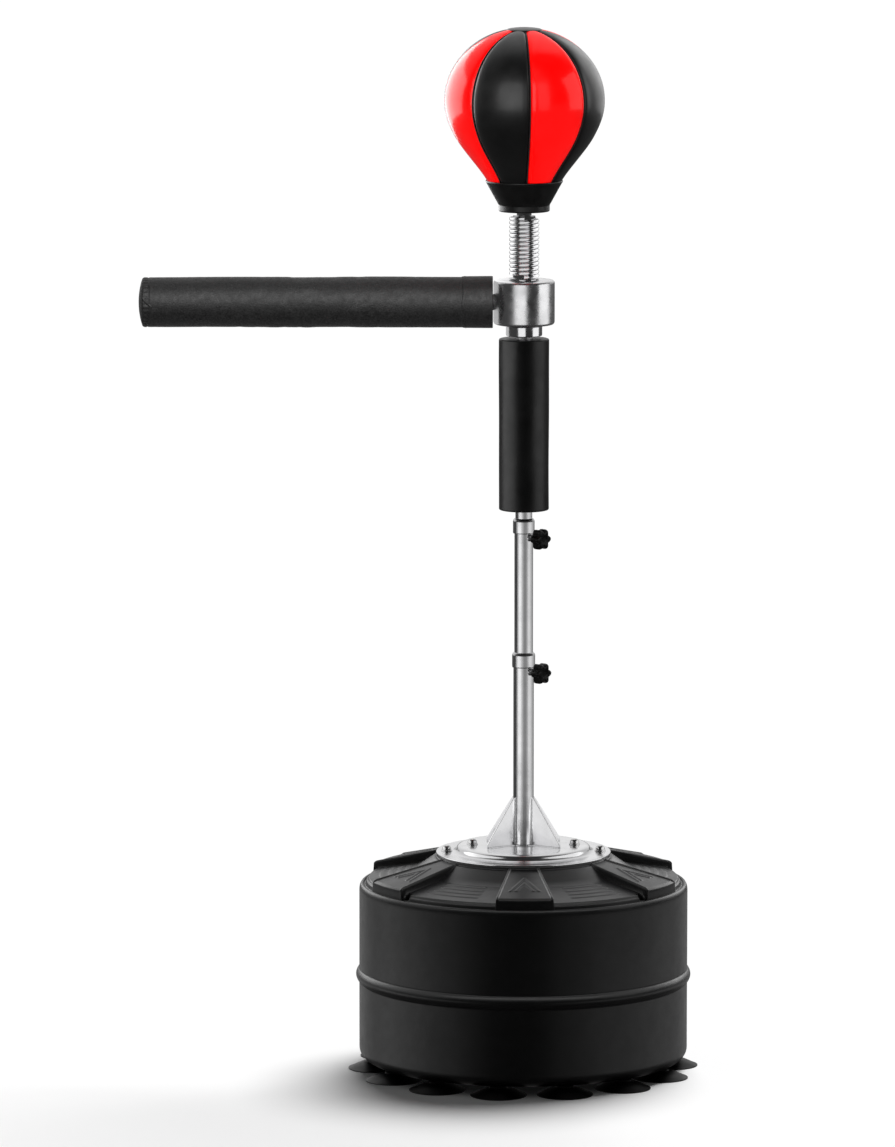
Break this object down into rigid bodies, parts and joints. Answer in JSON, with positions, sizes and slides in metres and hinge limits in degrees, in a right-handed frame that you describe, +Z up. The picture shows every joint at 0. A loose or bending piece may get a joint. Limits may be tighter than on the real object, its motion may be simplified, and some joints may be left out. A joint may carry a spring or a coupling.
{
  "type": "speed ball stand",
  "caption": "Free-standing speed ball trainer: a sewn ball on a coil spring and a spinning padded bar on a telescopic pole, over a fillable round base with suction cups.",
  "frame": {"origin": "on the pole's axis at floor level, where the suction cups' rims rest", "axes": "+Z up along the pole; the padded bar points along -X; -Y is the front, on the knobs' side"},
  "size_m": [0.7635, 0.4744, 1.4308],
  "materials": {
    "tank_black": "semi-gloss moulded polyethylene with a fine grain",
    "cup_rubber": "satin",
    "chrome": "polished",
    "hub_chrome": "polished, lightly brushed",
    "spring_chrome": "plated wire",
    "bolt_steel": "zinc plated",
    "insert_brass": "turned",
    "turned_steel": "turned",
    "bearing_steel": "ground",
    "knob_black": "fine grained",
    "glide_plastic": "moulded nylon",
    "seal_rubber": "matte",
    "pad_black": "smooth coated foam sleeve",
    "foam_grey": "closed-cell foam",
    "bar_fabric": "fine textured synthetic fabric",
    "cuff_fabric": "smooth band",
    "neck_rubber": "satin moulded rubber",
    "leather_red": "glossy synthetic leather",
    "leather_black": "glossy synthetic leather",
    "bladder_rubber": "latex"
  },
  "bodies": {
    "base": {"base_tank": "tank_black", "suction_cup_01": "cup_rubber", "suction_cup_02": "cup_rubber", "suction_cup_03": "cup_rubber", "suction_cup_04": "cup_rubber", "suction_cup_05": "cup_rubber", "suction_cup_06": "cup_rubber", "suction_cup_07": "cup_rubber", "suction_cup_08": "cup_rubber", "suction_cup_09": "cup_rubber", "suction_cup_10": "cup_rubber", "suction_cup_11": "cup_rubber", "suction_cup_12": "cup_rubber", "suction_cup_13": "cup_rubber", "suction_cup_14": "cup_rubber", "mounting_plate": "chrome", "gusset_1": "chrome", "gusset_2": "chrome", "gusset_3": "chrome", "gusset_4": "chrome", "plate_bolts": "bolt_steel", "plate_washers": "bolt_steel", "tank_inserts": "insert_brass", "lower_tube": "chrome", "lower_ferrule": "chrome", "lower_weld_nut": "chrome"},
    "filler_seal_body": {"filler_seal": "seal_rubber"},
    "filler_cap_body": {"filler_cap": "knob_black"},
    "lower_screw_body": {"lower_clamp_screw": "bolt_steel"},
    "lower_knob_body": {"lower_knob": "knob_black"},
    "middle_pole": {"middle_tube": "chrome", "middle_tube_glide": "glide_plastic", "upper_ferrule": "chrome", "upper_weld_nut": "chrome"},
    "upper_screw_body": {"upper_clamp_screw": "bolt_steel"},
    "upper_knob_body": {"upper_knob": "knob_black"},
    "upper_pole": {"upper_tube": "chrome", "upper_tube_glide": "glide_plastic", "pole_pad": "pad_black", "spindle": "turned_steel", "support_ring": "chrome", "bearing_inner_races": "bearing_steel", "spring_lower_seat": "chrome", "spindle_nut": "bolt_steel"},
    "spin_bar": {"hub": "hub_chrome", "bearing_outer_races": "bearing_steel", "bearing_balls": "bearing_steel", "bar_tube": "turned_steel", "bar_foam": "foam_grey", "bar_cover": "bar_fabric", "bar_cuff": "cuff_fabric"},
    "spring_body": {"ball_spring": "spring_chrome"},
    "ball": {"spring_upper_seat": "chrome", "neck_cone": "neck_rubber", "ball_panels_red": "leather_red", "ball_panels_black": "leather_black", "bladder": "bladder_rubber", "ball_valve": "seal_rubber", "ball_top_disc": "leather_black"}
  },
  "joints": [
    {"name": "filler_lift", "type": "slide", "parent": "base", "child": "filler_seal_body", "axis": [0, 0, 1], "range_m": [0, 0.012]},
    {"name": "filler_turn", "type": "hinge", "parent": "filler_seal_body", "child": "filler_cap_body", "pos_m": [0.0825, 0.14289, 0.27], "axis": [0, 0, 1], "range_deg": [0, 1080]},
    {"name": "lower_clamp_travel", "type": "slide", "parent": "base", "child": "lower_screw_body", "axis": [0.7071, -0.7071, 0], "range_m": [0, 0.002]},
    {"name": "lower_knob_turn", "type": "hinge", "parent": "lower_screw_body", "child": "lower_knob_body", "pos_m": [0, 0, 0.5502], "axis": [0.7071, -0.7071, 0], "range_deg": [0, 720]},
    {"name": "middle_pole_slide", "type": "slide", "parent": "base", "child": "middle_pole", "axis": [0, 0, 1], "range_m": [-0.13, 0.05]},
    {"name": "upper_clamp_travel", "type": "slide", "parent": "middle_pole", "child": "upper_screw_body", "axis": [0.7071, -0.7071, 0], "range_m": [0, 0.002]},
    {"name": "upper_knob_turn", "type": "hinge", "parent": "upper_screw_body", "child": "upper_knob_body", "pos_m": [0, 0, 0.7348], "axis": [0.7071, -0.7071, 0], "range_deg": [0, 720]},
    {"name": "upper_pole_slide", "type": "slide", "parent": "middle_pole", "child": "upper_pole", "axis": [0, 0, 1], "range_m": [-0.008, 0.16]},
    {"name": "bar_spin", "type": "hinge", "parent": "upper_pole", "child": "spin_bar", "pos_m": [0, 0, 1.057], "axis": [0, 0, 1], "continuous": true},
    {"name": "ball_tilt_side", "type": "hinge", "parent": "upper_pole", "child": "spring_body", "pos_m": [0, 0, 1.111], "axis": [0, 1, 0], "range_deg": [-45, 45], "stiffness_Nm_per_rad": 14, "deforming": ["ball_spring"]},
    {"name": "ball_tilt_front", "type": "hinge", "parent": "spring_body", "child": "ball", "pos_m": [0, 0, 1.153], "axis": [1, 0, 0], "range_deg": [-45, 45], "stiffness_Nm_per_rad": 14, "deforming": ["ball_spring"]}
  ],
  "couplings": [
    {"joint": "filler_lift", "follows": "filler_turn", "m_per_rad": 0.00063662},
    {"joint": "lower_clamp_travel", "follows": "lower_knob_turn", "m_per_rad": 0.00015915},
    {"joint": "upper_clamp_travel", "follows": "upper_knob_turn", "m_per_rad": 0.00015915}
  ]
}
